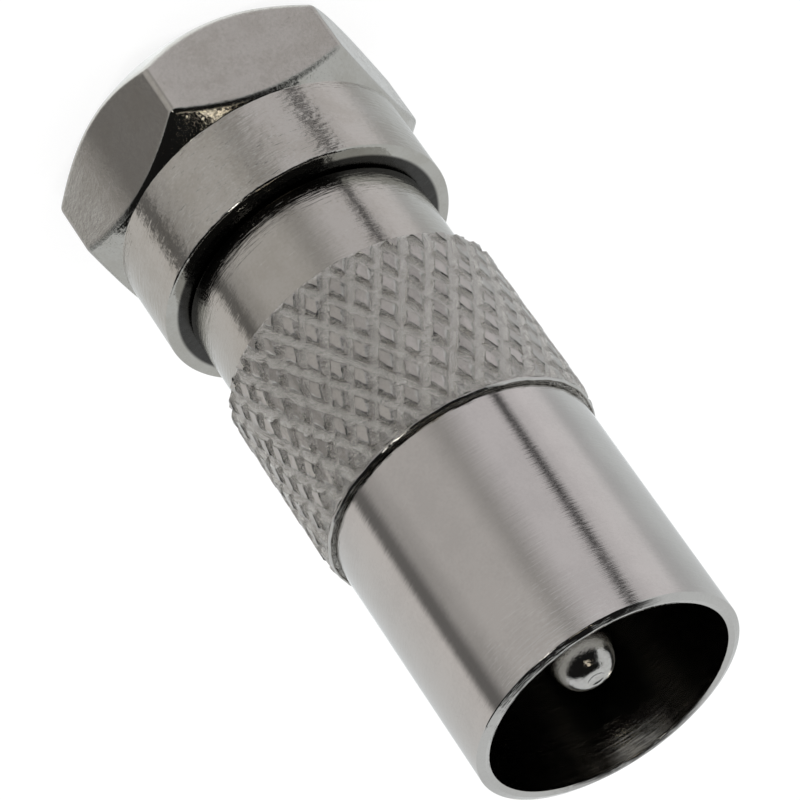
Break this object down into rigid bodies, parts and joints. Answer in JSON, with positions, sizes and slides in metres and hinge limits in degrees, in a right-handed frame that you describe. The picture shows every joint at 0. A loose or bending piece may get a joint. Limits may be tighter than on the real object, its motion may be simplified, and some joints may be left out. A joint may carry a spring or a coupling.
{
  "type": "coaxial adapter",
  "caption": "Straight coaxial adapter: F plug with a free-turning hexagonal nut, knurled grip and slim aerial plug with a bare centre pin.",
  "frame": {"origin": "centre of the coupling nut's front face, on which the adapter stands", "axes": "+Z along the common axis from the nut's front face to the mouth of the aerial plug; +X through one corner of the nut's hexagon"},
  "size_m": [0.0126, 0.011, 0.0266],
  "materials": {
    "nut_plating": "polished, softened edges",
    "body_plating": "turned and polished",
    "post_plating": "turned",
    "shell_plating": "turned and polished",
    "contact_plating": "polished",
    "insulator_plastic": "satin"
  },
  "bodies": {
    "adapter": {"knurled_body": "body_plating", "contact_post": "post_plating", "plug_shell": "shell_plating", "plug_pin": "contact_plating", "needle": "contact_plating", "front_insulator": "insulator_plastic", "rear_insulator": "insulator_plastic"},
    "nut": {"coupling_nut": "nut_plating"}
  },
  "joints": [
    {"name": "nut_spin", "type": "hinge", "parent": "adapter", "child": "nut", "pos_m": [0, 0, 0.0063], "axis": [0, 0, 1], "continuous": true}
  ]
}
